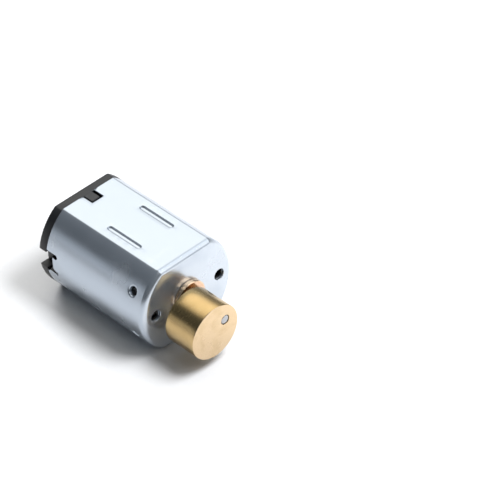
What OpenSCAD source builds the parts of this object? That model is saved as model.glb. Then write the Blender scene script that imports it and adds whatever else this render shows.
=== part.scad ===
// Flat-sided micro DC vibration motor: a three-pole brushed motor in a drawn steel can,
// with an eccentric brass weight staked onto the front end of its shaft.
// Origin: centre of the can's front face, on the shaft axis.
// +X runs along the shaft towards the weight, +Y across the can's width, +Z up across its flats.

/* [Can] */
// Width of the can across its two round sides
can_width = 12; // [11.6:0.1:13]
// Height of the can across its two flats
can_height = 10; // [9.9:0.1:10.6]
// Length of the steel can, without the plastic cap
can_length = 13.9; // [13.9:0.1:14.2]
// Thickness of the can's sheet steel
can_wall = 0.6; // [0.5:0.05:0.65]
// Radius of the drawn edge around the can's front face
can_edge_radius = 0.45; // [0.2:0.05:0.6]

/* [Front face] */
// Radius of the front bearing's flange, which lies on the front face
bearing_flange_radius = 1.85; // [1.7:0.05:2]
// Thickness of that flange
bearing_flange_thickness = 0.55; // [0.4:0.05:0.7]
// Distance between the two screw holes in the front face
screw_pitch = 8.5; // [8:0.1:9]
// Radius of the two screw holes
screw_hole_radius = 0.65; // [0.5:0.05:0.8]
// Distance of the small locating hole below the shaft axis
locating_hole_drop = 3.6; // [3:0.1:3.8]
// Radius of the small locating hole
locating_hole_radius = 0.45; // [0.3:0.05:0.6]

/* [Stamped features] */
// Distance of each stamped groove from the middle of the flat
groove_offset = 2.15; // [2:0.05:2.2]
// Width of a stamped groove
groove_width = 0.5; // [0.4:0.05:0.6]
// Depth of a stamped groove
groove_depth = 0.25; // [0.15:0.05:0.3]
// Distance from the front face to the front end of the grooves
groove_start = 4.1; // [3.5:0.1:4.5]
// Distance from the front face to the rear end of the grooves
groove_end = 8.6; // [8:0.1:9.2]
// Distance from the front face to the four side dimples
dimple_distance = 1.95; // [1.8:0.05:2.1]
// Angle of a side dimple above or below the middle of the round side
dimple_angle = 27; // [22:1:32]
// Radius of a side dimple
dimple_radius = 0.5; // [0.4:0.05:0.55]

/* [End cap] */
// Length of the cap's rim behind the can
rim_length = 1.1; // [1:0.05:1.3]
// Radius of the round hub on the back of the cap
hub_radius = 2.8; // [2.5:0.1:3]
// Height of the hub behind the rim
hub_height = 1.2; // [1.15:0.05:1.4]
// Half height of the recess in each round side of the rim
recess_half_height = 1; // [0.9:0.05:1.1]
// Radial depth of that recess
recess_depth = 1.15; // [1:0.05:1.15]
// Width of the locking key in each flat
key_width = 1.5; // [1.2:0.1:1.8]
// Length of the locking key's notch in the can
key_length = 1.45; // [1.3:0.05:1.6]

/* [Terminals] */
// Distance of each terminal from the shaft axis
terminal_offset = 3.7; // [3.65:0.05:3.75]
// Width of a terminal
terminal_width = 1.8; // [1.6:0.1:2]
// Thickness of a terminal
terminal_thickness = 0.3; // [0.25:0.05:0.3]
// Length of a terminal behind the rim
terminal_reach = 1.75; // [1.6:0.05:2]
// Radius of the solder hole in a terminal
solder_hole_radius = 0.45; // [0.3:0.05:0.5]

/* [Weight and shaft] */
// Radius of the brass weight
weight_radius = 3; // [2.8:0.1:3]
// Distance from the front face to the weight's rear face
weight_start = 1.35; // [1.2:0.05:1.6]
// Length of the weight
weight_length = 3.85; // [3.5:0.05:4.5]
// Distance between the weight's own axis and the shaft axis
weight_offset = 1.55; // [1.2:0.05:1.6]
// Direction of the weight's axis from the shaft, measured from +Y towards +Z
weight_direction = -151; // [-180:1:180]
// Radius of the shaft
shaft_radius = 0.5; // [0.45:0.05:0.5]

/* [Rotor] */
// Number of steel laminations in the rotor core
lamination_count = 12; // [10:1:12]
// Thickness of one lamination
lamination_thickness = 0.5; // [0.45:0.05:0.5]
// Outer radius of the rotor core
rotor_radius = 4; // [3.8:0.05:4]

/* [Hidden] */
pole_count = 3;        // poles, coils and commutator segments

$fn = 64;
past = 1;              // how far a cutting shape runs past the surface that it cuts
contact_gap = 0.01;    // clearance of a pressed or glued joint
running_gap = 0.03;    // radial clearance of a bearing on the shaft

round_radius = can_width / 2;
flat_height = can_height / 2;
inner_radius = round_radius - can_wall;
inner_flat = flat_height - can_wall;
can_rear = -can_length;
rim_rear = can_rear - rim_length;
hub_rear = rim_rear - hub_height;

// The front bearing: a flange on the front face, and a body in the can's front hole
bearing_front = contact_gap + bearing_flange_thickness;
bearing_radius = 1.4;
bearing_rear = -1.2;

// The crimp: two slits on each round side leave a tab, whose end is bent into the cap
slit_angle = 10;
slit_width = 0.5;
slit_length = 1.55;
tab_half_height = 0.76;
tab_margin = 0.2;      // how far the cut behind the tab runs into the slits
tab_bend = can_rear + 1.05;
tab_end = can_rear + 0.45;
tab_drop = 0.85;

// The cap's plug, and the round chamber in it for the commutator and the brushes
plug_length = 1.3;
plug_front = can_rear + plug_length;
plug_gap = 0.03;
rim_drop = 0.12;       // how far the cap's rim and key lie under the can's flats
key_side_gap = 0.12;   // on each side of the key in its notch
key_front_gap = 0.3;   // the open end of the notch in front of the key
chamber_radius = 4.4;
chamber_flat = 3.9;
chamber_floor = rim_rear + 0.7;
rim_edge_radius = 0.25;
hub_edge_radius = 0.35;
hub_wall = 0.45;
rear_opening_radius = 0.7;
rear_bearing_radius = 1.5;
rear_bearing_rear = hub_rear + hub_wall;
rear_bearing_front = rear_bearing_rear + 1.3;

// Magnets: two arcs held between the ridges inside the grooves
magnet_inner_radius = 4.3;
magnet_edge = groove_offset + groove_width / 2 + 0.05;
magnet_front = -2.75;
magnet_rear = -10.7;

// Rotor stack along X
core_front = -3.6;
core_rear = core_front - lamination_count * lamination_thickness;
insulator_thickness = 0.3;
pole_arm_width = 1.3;
pole_shoe_inner = 3.45;
pole_shoe_angle = 50;
core_hub_radius = 1.35;
coil_start = 1.45;
coil_end = 3;
coil_half_width = 1.7;
coil_overhang = 0.85;
coil_corner = 0.6;
commutator_front = core_rear - insulator_thickness - coil_overhang - 0.15;
washer_thickness = 0.2;
washer_gap = 0.05;     // end play between a washer and its bearing
commutator_rear = rear_bearing_front + washer_gap + washer_thickness + 0.1;
commutator_flange = 0.3;
segment_inner = 1;
segment_outer = 1.3;
segment_gap_angle = 12;
riser_angle = 30;
riser_radius = 1.9;
riser_thickness = 0.3;
ring_radius = 1.6;
ring_width = 0.4;
washer_radius = 1;
shaft_rear = rear_bearing_rear + 0.05;

// Brushes: a spring leaf on each side, with a rubber pad on its back
brush_thickness = 0.15;
brush_front = can_rear + 0.95;
brush_rear = can_rear + 0.05;
brush_gap = 0.05;
damper_thickness = 0.55;
terminal_front = can_rear + 1;
terminal_foot_height = 1.95;

// The stake mark on the thin side of the weight's wall
stake_front = 3.7;
stake_floor_rear = 3.3;
stake_rear = 2.75;
stake_depth = 0.3;
stake_tilt = -8;       // how far the mark sits round from the thinnest point
weight_chamfer = 0.1;

// A 2D shape in the Y-Z plane, extruded from x0 to x1
module along_x(x0, x1) {
    translate([x0, 0, 0]) rotate([90, 0, 90]) linear_extrude(x1 - x0) children();
}

// A solid cylinder on the shaft axis, from x0 to x1
module rod(radius, x0, x1) {
    translate([x0, 0, 0]) rotate([0, 90, 0]) cylinder(h = x1 - x0, r = radius);
}

// A tube on the shaft axis, from x0 to x1
module tube(outer, inner, x0, x1) {
    difference() {
        rod(outer, x0, x1);
        rod(inner, x0 - past, x1 + past);
    }
}

// The can's outline: a circle with its top and bottom cut flat
module flat_sided(radius, flat) {
    intersection() {
        circle(radius);
        square([2 * radius + past, 2 * flat], center = true);
    }
}

// What is taken off a square corner to round it
module corner_waste(radius) {
    difference() {
        square(radius + past);
        circle(radius);
    }
}

// A rectangle of the given half width, from y = 0 down, with its two top corners rounded
module rounded_top(half_width, depth, radius) {
    difference() {
        translate([-half_width, -depth]) square([2 * half_width, depth]);
        for (side = [0, 1]) mirror([side, 0])
            translate([half_width - radius, -radius]) corner_waste(radius);
    }
}

// A flat-sided block that ends at x = 0 with a rounded edge, and runs back from there
module rounded_block(radius, flat, depth, edge) {
    intersection() {
        rotate([0, 90, 0]) rotate_extrude() intersection() {
            rounded_top(radius, depth, edge);
            translate([0, -depth - past]) square([radius + past, depth + 2 * past]);
        }
        rotate([-90, 0, 0]) rotate([0, 0, -90])
            linear_extrude(2 * radius + past, center = true) rounded_top(flat, depth, edge);
    }
}

// A straight slot with round ends, from x0 to x1, seen from above
module slot_shape(x0, x1, width) {
    translate([x0 + width / 2, -width / 2]) square([x1 - x0 - width, width]);
    for (x = [x0 + width / 2, x1 - width / 2]) translate([x, 0]) circle(d = width);
}

// Puts a child on each flat, at both groove positions
module at_each_groove() {
    for (turn = [0, 180], side = [-1, 1])
        rotate([turn, 0, 0]) translate([0, side * groove_offset, 0]) children();
}

// Puts a child on both round sides, at the angles above and below the middle
module at_each_side(angle) {
    for (turn = [0, 180], tilt = [-angle, angle]) rotate([turn + tilt, 0, 0]) children();
}

module can() {
    slit_front = can_rear + slit_length;
    color("lightsteelblue") difference() {
        union() {
            difference() {
                rounded_block(round_radius, flat_height, can_length, can_edge_radius);
                along_x(can_rear - past, -can_wall) flat_sided(inner_radius, inner_flat);
                // the tab between two slits stops short of the can's rear edge
                for (turn = [0, 180]) rotate([turn, 0, 0])
                    translate([can_rear - past, inner_radius - past,
                               -tab_half_height - tab_margin])
                        cube([tab_bend - can_rear + past, 3 * past,
                              2 * (tab_half_height + tab_margin)]);
            }
            // ridges inside the stamped grooves
            at_each_groove() translate([0, 0, inner_flat - groove_depth])
                linear_extrude(groove_depth + can_wall / 2)
                    slot_shape(-groove_end, -groove_start, groove_width);
            // bumps inside the side dimples
            at_each_side(dimple_angle) translate([-dimple_distance, inner_radius + 0.2, 0])
                sphere(dimple_radius + 0.1);
            bent_tabs();
        }
        rod(bearing_radius, -past, past);
        for (side = [-1, 1]) translate([0, side * screw_pitch / 2, 0])
            rod(screw_hole_radius, -past, past);
        translate([0, 0, -locating_hole_drop]) rod(locating_hole_radius, -past, past);
        at_each_groove() translate([0, 0, flat_height - groove_depth])
            linear_extrude(past) slot_shape(-groove_end, -groove_start, groove_width);
        at_each_side(dimple_angle) translate([-dimple_distance, round_radius, 0])
            sphere(dimple_radius);
        at_each_side(slit_angle) translate([can_rear - past, inner_radius - past, 0]) {
            translate([0, 0, -slit_width / 2])
                cube([slit_front - can_rear + past - slit_width / 2, 3 * past, slit_width]);
            translate([slit_front - can_rear + past - slit_width / 2, 0, 0])
                rotate([-90, 0, 0]) cylinder(h = 3 * past, d = slit_width);
        }
        // the notch in each flat that takes the cap's key
        for (turn = [0, 180]) rotate([turn, 0, 0])
            translate([can_rear - past, -key_width / 2, inner_flat - past])
                cube([key_length + past, key_width, 3 * past]);
    }
}

// The inward-bent end of the crimped tab on each round side
module bent_tabs() {
    for (turn = [0, 180]) rotate([turn, 0, 0]) intersection() {
        linear_extrude(2 * tab_half_height, center = true) polygon([
            [tab_bend + 0.3, round_radius],
            [tab_bend, round_radius],
            [tab_end, round_radius - tab_drop + 0.3],
            [tab_end + 0.2, round_radius - tab_drop - 0.15],
            [tab_bend, inner_radius + 0.1],
            [tab_bend + 0.3, inner_radius + 0.1]
        ]);
        rod(round_radius, tab_end - past, 0);
    }
}

module end_cap() {
    cap_flat = flat_height - rim_drop;
    color([0.12, 0.12, 0.13]) difference() {
        union() {
            translate([rim_rear, 0, 0]) rotate([0, 0, 180])
                rounded_block(round_radius, cap_flat, rim_length, rim_edge_radius);
            along_x(can_rear, plug_front)
                flat_sided(inner_radius - plug_gap, inner_flat - plug_gap);
            for (turn = [0, 180]) rotate([turn, 0, 0])
                translate([can_rear, key_side_gap - key_width / 2, chamber_flat])
                    cube([key_length - key_front_gap, key_width - 2 * key_side_gap,
                          cap_flat - chamber_flat]);
            rotate([0, 90, 0]) rotate_extrude() hub_profile();
        }
        along_x(chamber_floor, plug_front + past) flat_sided(chamber_radius, chamber_flat);
        rod(rear_bearing_radius, rear_bearing_rear, 0);
        rod(rear_opening_radius, hub_rear - past, 0);
        for (turn = [0, 180]) rotate([turn, 0, 0]) {
            translate([rim_rear - past, round_radius - recess_depth, -recess_half_height])
                cube([rim_length + plug_length + 2 * past, 2 * past, 2 * recess_half_height]);
            translate([rim_rear - past, terminal_offset - terminal_thickness / 2,
                       -terminal_width / 2])
                cube([rim_length + past, terminal_thickness, terminal_width]);
        }
    }
}

// Half the hub's section, with its rear edge rounded; it reaches into the rim
module hub_profile() {
    intersection() {
        translate([0, hub_rear]) mirror([0, 1])
            rounded_top(hub_radius, hub_height + rim_length / 2, hub_edge_radius);
        translate([0, hub_rear - past]) square([hub_radius + past, hub_height + 2 * past]);
    }
}

module front_bearing() {
    color([0.72, 0.45, 0.3]) difference() {
        union() {
            rod(bearing_flange_radius, contact_gap, bearing_front);
            rod(bearing_radius - contact_gap, bearing_rear, bearing_front);
        }
        rod(shaft_radius + running_gap, bearing_rear - past, past);
    }
}

module rear_bearing() {
    color([0.72, 0.45, 0.3]) tube(rear_bearing_radius - contact_gap,
        shaft_radius + running_gap, rear_bearing_rear, rear_bearing_front);
}

// An arc magnet on the +Y side
module magnet() {
    color([0.25, 0.25, 0.27]) along_x(magnet_rear, magnet_front) difference() {
        flat_sided(inner_radius - contact_gap, inner_flat - contact_gap);
        circle(magnet_inner_radius);
        translate([magnet_edge - 2 * round_radius, -round_radius])
            square(2 * round_radius);
    }
}

// A terminal on the +Y side: a solder tab behind the cap, and a foot inside it for the brush
module terminal() {
    tip = rim_rear - terminal_reach;
    round_end = tip + terminal_width / 2;
    color([0.8, 0.8, 0.8]) translate([0, terminal_offset, 0]) rotate([90, 0, 0])
        linear_extrude(terminal_thickness, center = true) difference() {
            union() {
                translate([round_end, -terminal_width / 2])
                    square([terminal_front - round_end, terminal_width]);
                translate([round_end, 0]) circle(terminal_width / 2);
                translate([chamber_floor, -terminal_foot_height])
                    square([terminal_front - chamber_floor, terminal_foot_height]);
            }
            translate([round_end, 0]) circle(solder_hole_radius);
        }
}

// A bent strip in 2D through the given points
module strip(points, thickness) {
    for (i = [1:len(points) - 1]) {
        step = points[i] - points[i - 1];
        translate(points[i - 1]) rotate(atan2(step[1], step[0]))
            translate([0, -thickness / 2]) square([norm(step), thickness]);
    }
    for (point = points) translate(point) circle(d = thickness);
}

// A brush on the +Y side: it lies on the terminal's foot and springs back to the commutator
module brush() {
    foot_y = terminal_offset - terminal_thickness / 2 - brush_thickness / 2 - contact_gap;
    wiper_y = segment_outer + brush_gap + brush_thickness / 2;
    color([0.8, 0.6, 0.35]) along_x(brush_rear, brush_front) strip([
        [foot_y, 0.4], [foot_y, -1.7], [wiper_y + 0.3, -1.25], [wiper_y, -0.8], [wiper_y, 1.5]
    ], brush_thickness);
}

// The rubber pad on the back of a brush
module brush_damper() {
    back = segment_outer + brush_gap + brush_thickness + contact_gap;
    color([0.2, 0.2, 0.2]) along_x(brush_rear, brush_front)
        translate([back, 0.5]) square([damper_thickness, 0.9]);
}

module shaft() {
    color([0.75, 0.75, 0.77]) rod(shaft_radius, shaft_rear, weight_start + weight_length);
}

module eccentric_weight() {
    front = weight_start + weight_length;
    color([0.83, 0.66, 0.36]) rotate([weight_direction, 0, 0]) difference() {
        translate([0, weight_offset, 0]) rotate([0, 90, 0]) rotate_extrude() polygon([
            [0, weight_start],
            [weight_radius - weight_chamfer, weight_start],
            [weight_radius, weight_start + weight_chamfer],
            [weight_radius, front - weight_chamfer],
            [weight_radius - weight_chamfer, front],
            [0, front]
        ]);
        rod(shaft_radius + contact_gap, weight_start - past, front + past);
        translate([0, weight_offset, 0]) rotate([stake_tilt, 0, 0]) stake_mark();
    }
}

// A notch pressed across the weight's -Y side, steep in front and sloping behind
module stake_mark() {
    floor_y = stake_depth - weight_radius;
    slope = (stake_floor_rear - stake_rear) / stake_depth;
    linear_extrude(2 * weight_radius, center = true) polygon([
        [stake_front, floor_y],
        [stake_front, floor_y - past],
        [stake_floor_rear - slope * past, floor_y - past],
        [stake_floor_rear, floor_y]
    ]);
}

// The three-pole outline shared by the laminations and their insulators
module pole_outline(inset) {
    difference() {
        union() {
            circle(core_hub_radius - inset);
            for (i = [0:pole_count - 1]) rotate(i * 360 / pole_count) {
                translate([0, inset - pole_arm_width / 2])
                    square([pole_shoe_inner + 0.1, pole_arm_width - 2 * inset]);
                intersection() {
                    difference() {
                        circle(rotor_radius - inset);
                        circle(pole_shoe_inner + inset);
                    }
                    sector(pole_shoe_angle);
                }
            }
        }
        circle(shaft_radius + contact_gap);
    }
}

// A wedge around +X, to the given angle on each side
module sector(half_angle) {
    reach = 2 * rotor_radius;
    polygon([
        [0, 0],
        reach * [cos(half_angle), -sin(half_angle)],
        [reach, 0],
        reach * [cos(half_angle), sin(half_angle)]
    ]);
}

module lamination(number) {
    front = core_front - (number - 1) * lamination_thickness;
    color([0.55, 0.56, 0.58]) along_x(front - lamination_thickness, front) pole_outline(0);
}

module core_insulator(x0) {
    color([0.85, 0.83, 0.75]) along_x(x0, x0 + insulator_thickness) pole_outline(0.05);
}

// A rectangle with round corners, centred on the origin
module rounded_rectangle(size, radius) {
    square([size[0] - 2 * radius, size[1]], center = true);
    square([size[0], size[1] - 2 * radius], center = true);
    for (a = [-1, 1], b = [-1, 1])
        translate([a * (size[0] / 2 - radius), b * (size[1] / 2 - radius)]) circle(radius);
}

// The winding around one pole arm
module coil(number) {
    core_length = core_front - core_rear + 2 * insulator_thickness;
    window = [core_length + 2 * contact_gap, pole_arm_width + 2 * contact_gap];
    outer = [core_length + 2 * coil_overhang, 2 * coil_half_width];
    color([0.75, 0.35, 0.15]) rotate([(number - 1) * 360 / pole_count, 0, 0])
        translate([(core_front + core_rear) / 2, coil_end, 0]) rotate([90, 0, 0])
            linear_extrude(coil_end - coil_start) difference() {
                rounded_rectangle(outer, coil_corner);
                square(window, center = true);
            }
}

module spacer_sleeve() {
    color([0.8, 0.8, 0.75]) tube(washer_radius - 0.1, shaft_radius + contact_gap,
        core_front + insulator_thickness, bearing_rear - washer_gap - washer_thickness);
}

// A low-friction washer between the rotor and a bearing
module thrust_washer(x0) {
    color([0.9, 0.9, 0.85]) tube(washer_radius, shaft_radius + contact_gap,
        x0, x0 + washer_thickness);
}

module commutator_core() {
    color([0.35, 0.2, 0.12]) difference() {
        union() {
            rod(segment_inner - contact_gap, commutator_rear, commutator_front);
            rod(riser_radius, commutator_front - commutator_flange, commutator_front);
        }
        rod(shaft_radius + contact_gap, commutator_rear - past, 0);
    }
}

module commutator_segment(number) {
    riser_front = commutator_front - commutator_flange - contact_gap;
    half_angle = 180 / pole_count - segment_gap_angle / 2;
    color([0.8, 0.5, 0.3]) rotate([60 + (number - 1) * 360 / pole_count, 0, 0]) {
        along_x(commutator_rear, riser_front) arc_plate(segment_inner, segment_outer, half_angle);
        along_x(riser_front - riser_thickness, riser_front)
            arc_plate(segment_inner, riser_radius, riser_angle / 2);
    }
}

// A flat arc between two radii, to the given angle on each side
module arc_plate(inner, outer, half_angle) {
    intersection() {
        difference() {
            circle(outer);
            circle(inner);
        }
        sector(half_angle);
    }
}

module commutator_ring() {
    front = commutator_front - commutator_flange - riser_thickness - 2 * contact_gap;
    color([0.9, 0.88, 0.8]) tube(ring_radius, segment_outer + contact_gap,
        front - ring_width, front);
}

can();
end_cap();
front_bearing();
rear_bearing();
magnet();  // magnet_left
rotate([180, 0, 0]) magnet();  // magnet_right
terminal();  // terminal_left
rotate([180, 0, 0]) terminal();  // terminal_right
brush();  // brush_left
rotate([180, 0, 0]) brush();  // brush_right
brush_damper();  // brush_damper_left
rotate([180, 0, 0]) brush_damper();  // brush_damper_right
shaft();
eccentric_weight();
spacer_sleeve();
thrust_washer(bearing_rear - washer_gap - washer_thickness);  // front_thrust_washer
thrust_washer(rear_bearing_front + washer_gap);  // rear_thrust_washer
core_insulator(core_front);  // core_insulator_front
core_insulator(core_rear - insulator_thickness);  // core_insulator_rear
commutator_core();
commutator_ring();
for (i = [1:pole_count])
    commutator_segment(i);
for (i = [1:pole_count])
    coil(i);
for (i = [1:lamination_count])
    lamination(i);
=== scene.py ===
import math

import bmesh
import bpy
import numpy as np
from mathutils import Matrix, Vector
from mathutils.geometry import delaunay_2d_cdt


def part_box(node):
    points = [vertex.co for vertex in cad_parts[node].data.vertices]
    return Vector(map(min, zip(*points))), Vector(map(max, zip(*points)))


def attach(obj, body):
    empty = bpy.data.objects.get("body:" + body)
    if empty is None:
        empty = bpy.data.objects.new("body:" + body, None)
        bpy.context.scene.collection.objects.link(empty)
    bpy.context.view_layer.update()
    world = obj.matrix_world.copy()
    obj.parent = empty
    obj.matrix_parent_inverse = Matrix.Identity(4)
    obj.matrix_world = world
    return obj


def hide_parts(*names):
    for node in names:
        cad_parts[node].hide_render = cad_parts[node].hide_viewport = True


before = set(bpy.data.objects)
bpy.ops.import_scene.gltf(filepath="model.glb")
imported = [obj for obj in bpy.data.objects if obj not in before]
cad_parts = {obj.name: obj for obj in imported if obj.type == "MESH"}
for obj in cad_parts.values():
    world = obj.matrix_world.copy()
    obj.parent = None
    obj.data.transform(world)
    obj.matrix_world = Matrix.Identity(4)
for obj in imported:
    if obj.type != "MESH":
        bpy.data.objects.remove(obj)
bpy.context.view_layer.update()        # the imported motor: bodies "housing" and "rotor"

# Shapes are worked out in millimetres in the CAD frame and scaled once, in Mesh.make.
MM = 0.001


def box_mm(node):
    """Lowest and highest corner of a CAD node, in millimetres."""
    low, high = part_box(node)
    return low / MM, high / MM


CAN_LOW, CAN_HIGH = box_mm("can")
CAP_LOW, CAP_HIGH = box_mm("end_cap")
WEIGHT_LOW, WEIGHT_HIGH = box_mm("eccentric_weight")
BEARING_LOW, BEARING_HIGH = box_mm("front_bearing")
SHAFT_LOW, SHAFT_HIGH = box_mm("shaft")
TERMINAL_LOW, TERMINAL_HIGH = box_mm("terminal_left")

ROUND = CAN_HIGH.y               # radius of the round sides
FLAT = CAN_HIGH.z                # half the distance between the flats
CAN_REAR = CAN_LOW.x
WALL = 0.6                       # sheet thickness
RIM_REAR = CAN_REAR - 1.1        # the cap's rim ends here, and its hub goes on
HUB_REAR = CAP_LOW.x
PLUG_FRONT = CAP_HIGH.x


# ---------------- shape tools

SHARP_ANGLE = math.radians(38)   # edges that turn by more than this are not smoothed


class Mesh:
    """Points in millimetres and faces, gathered patch by patch and welded into one object."""

    def __init__(self):
        self.points = []
        self.faces = []

    def add(self, points):
        first = len(self.points)
        self.points.extend(tuple(p) for p in points)
        return list(range(first, len(self.points)))

    def patch(self, points, faces):
        ids = self.add(points)
        self.faces.extend(tuple(ids[i] for i in face) for face in faces)
        return ids

    def bridge(self, a, b):
        """Quads between two closed rings of the same length."""
        n = len(a)
        for i in range(n):
            j = (i + 1) % n
            self.faces.append((a[i], a[j], b[j], b[i]))

    def loft(self, rings):
        """Closed rings of points, each joined to the next. Returns the ids of the rings."""
        ids = [self.add(ring) for ring in rings]
        for a, b in zip(ids, ids[1:]):
            self.bridge(a, b)
        return ids

    def skins(self, domain, outside, inside, wanted):
        """Two skins over a Domain, joined along those of its border edges that are wanted."""
        out_ids = self.patch([outside(*p) for p in domain.points], domain.faces)
        in_ids = self.patch([inside(*p) for p in domain.points], domain.faces)
        for i, j in domain.border():
            if wanted(domain.points[i], domain.points[j]):
                self.faces.append((out_ids[i], out_ids[j], in_ids[j], in_ids[i]))

    def make(self, name, material, body, replaced):
        bm = bmesh.new()
        verts = [bm.verts.new((x * MM, y * MM, z * MM)) for x, y, z in self.points]
        for face in self.faces:
            try:
                bm.faces.new([verts[i] for i in face])
            except ValueError:       # the same face from two patches
                continue
        bmesh.ops.remove_doubles(bm, verts=bm.verts, dist=2e-7)
        bmesh.ops.dissolve_degenerate(bm, edges=bm.edges, dist=1e-7)
        bmesh.ops.delete(bm, geom=[v for v in bm.verts if not v.link_faces], context="VERTS")
        bmesh.ops.recalc_face_normals(bm, faces=bm.faces)
        data = bpy.data.meshes.new(name)
        bm.to_mesh(data)
        bm.free()
        data.shade_smooth()
        data.set_sharp_from_angle(angle=SHARP_ANGLE)
        data.materials.append(material)
        piece = bpy.data.objects.new(name, data)
        bpy.context.scene.collection.objects.link(piece)
        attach(piece, body)
        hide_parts(*replaced)


def rounded_lip(radius, steps=4):
    """(distance from the edge, depth) of a quarter-round edge, from the outside in."""
    angles = [i * math.pi / 2 / steps for i in range(steps + 1)]
    return [(radius * (1 - math.sin(a)), radius * (1 - math.cos(a))) for a in angles]


def triangulated(points, edges):
    """The points and triangles of a flat area in which the given edges are kept."""
    made = delaunay_2d_cdt([Vector(p) for p in points], edges, [], 0, 1e-6)
    return [(p.x, p.y) for p in made[0]], [tuple(face) for face in made[2]]


def centre_of(points, face):
    return [sum(points[i][axis] for i in face) / len(face) for axis in (0, 1)]


class Feature:
    """A rounded rectangle on a surface, in the surface's own (u, v) millimetres.

    half is the half size inside the rounding, so a circle has (0, 0) and a slot (0, length).
    rings are (distance outside the edge, depth) pairs from the outside in.
    A cut feature is open inside its edge."""

    def __init__(self, centre, half, radius, rings, cut=False, corner_steps=8):
        self.centre = centre
        self.half = half
        self.radius = radius
        self.rings = rings
        self.cut = cut
        self.corner_steps = corner_steps

    def distance(self, u, v):
        du = abs(u - self.centre[0]) - self.half[0]
        dv = abs(v - self.centre[1]) - self.half[1]
        outside = math.hypot(max(du, 0.0), max(dv, 0.0))
        return outside + min(max(du, dv), 0.0) - self.radius

    def depth(self, u, v):
        distances = [d for d, _ in reversed(self.rings)]
        depths = [h for _, h in reversed(self.rings)]
        return float(np.interp(self.distance(u, v), distances, depths))

    def loop(self, offset):
        """Points round the edge moved outwards by offset."""
        radius = self.radius + offset
        shrink = min(radius, 0.0)
        half = [max(h + shrink, 0.0) for h in self.half]
        radius = max(radius, 0.0)
        points = []
        signs = [(1, 1), (-1, 1), (-1, -1), (1, -1)]
        for quarter, (su, sv) in enumerate(signs):
            corner = (self.centre[0] + su * half[0], self.centre[1] + sv * half[1])
            for i in range(self.corner_steps + 1):
                a = (quarter + i / self.corner_steps) * math.pi / 2
                point = (corner[0] + radius * math.cos(a), corner[1] + radius * math.sin(a))
                if not points or math.dist(point, points[-1]) > 1e-6:
                    points.append(point)
        while len(points) > 1 and math.dist(points[0], points[-1]) <= 1e-6:
            points.pop()
        return subdivided(points, 0.6)

    def reach(self):
        return self.rings[0][0]


def subdivided(points, longest):
    """A closed polygon with its long sides divided."""
    result = []
    for p, q in zip(points, points[1:] + points[:1]):
        pieces = max(1, math.ceil(math.dist(p, q) / longest))
        for i in range(pieces):
            t = i / pieces
            result.append((p[0] + (q[0] - p[0]) * t, p[1] + (q[1] - p[1]) * t))
    return result


def clipped(points, lowest):
    """The part of a closed polygon above v = lowest, as an open line that ends on it."""
    inside = [p[1] > lowest + 1e-6 for p in points]
    if all(inside):
        return points, True
    n = len(points)
    start = next(i for i in range(n) if inside[i] and not inside[i - 1])
    run = []
    for k in range(n):
        i = (start + k) % n
        if not inside[i]:
            break
        run.append(points[i])
    return [(run[0][0], lowest)] + run + [(run[-1][0], lowest)], False


class Domain:
    """A flat (u, v) area, triangulated so that every feature has its own rings of points."""

    def __init__(self, frame_points, grid, features, lowest=-1e9, clearance=0.15):
        points = []
        edges = []
        for group, gap in ((frame_points, 1e-3), (grid, clearance)):
            for u, v in group:
                if all(f.distance(u, v) > f.reach() + gap for f in features):
                    points.append((u, v))
        for feature in features:
            for offset, _ in feature.rings:
                line, closed = clipped(feature.loop(offset), lowest)
                first = len(points)
                points.extend(line)
                count = len(line)
                for i in range(count if closed else count - 1):
                    edges.append((first + i, first + (i + 1) % count))
        self.points, faces = triangulated(points, edges)
        self.features = features
        self.faces = [face for face in faces if self._solid(*centre_of(self.points, face))]

    def _solid(self, u, v):
        return all(not f.cut or f.distance(u, v) > 0 for f in self.features)

    def depth(self, u, v):
        return sum(f.depth(u, v) for f in self.features)

    def border(self):
        """Edges that only one triangle uses."""
        used = {}
        for face in self.faces:
            for i, j in zip(face, face[1:] + face[:1]):
                key = (min(i, j), max(i, j))
                used[key] = used.get(key, 0) + 1
        return [edge for edge, count in used.items() if count == 1]


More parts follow.
